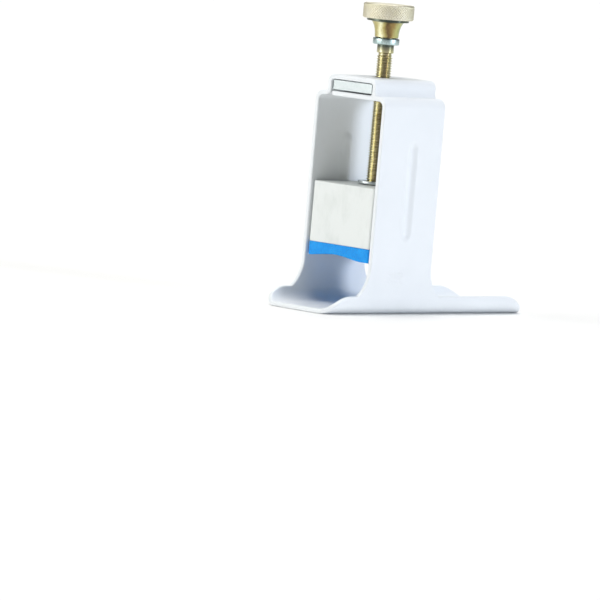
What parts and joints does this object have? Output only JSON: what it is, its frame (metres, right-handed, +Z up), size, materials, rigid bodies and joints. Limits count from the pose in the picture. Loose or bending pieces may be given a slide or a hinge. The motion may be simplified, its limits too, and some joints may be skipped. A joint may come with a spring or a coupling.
{
  "type": "finger splint",
  "caption": "Rigid finger splint: a white steel loop on a long trough, with a knurled screw that presses a foam-padded block down on the finger.",
  "frame": {"origin": "on the trough's flat underside, below the axis of the screw", "axes": "+X along the trough towards its long end, +Y across to the wall that carries the raised channel, +Z up along the screw"},
  "size_m": [0.0945, 0.03, 0.096],
  "materials": {
    "white_coat": "satin powder coat",
    "bright_zinc": "bright zinc plate",
    "yellow_zinc": "yellow chromated zinc plate",
    "pale_plastic": "moulded, matt",
    "blue_foam": "closed-cell foam"
  },
  "bodies": {
    "loop": {"frame": "white_coat", "nut_plate": "bright_zinc"},
    "press": {"press_block": "pale_plastic", "foam_pad": "blue_foam", "foot_washer": "bright_zinc"},
    "screw": {"thumb_screw": "yellow_zinc", "collar_ring": "bright_zinc"}
  },
  "joints": [
    {"name": "press_slide", "type": "slide", "parent": "loop", "child": "press", "axis": [0, 0, 1], "range_m": [-0.009, 0.025]},
    {"name": "screw_turn", "type": "hinge", "parent": "press", "child": "screw", "pos_m": [0, 0, 0.073], "axis": [0, 0, 1], "range_deg": [-4060, 11260]}
  ],
  "couplings": [
    {"joint": "screw_turn", "follows": "press_slide", "rad_per_m": 7854}
  ]
}
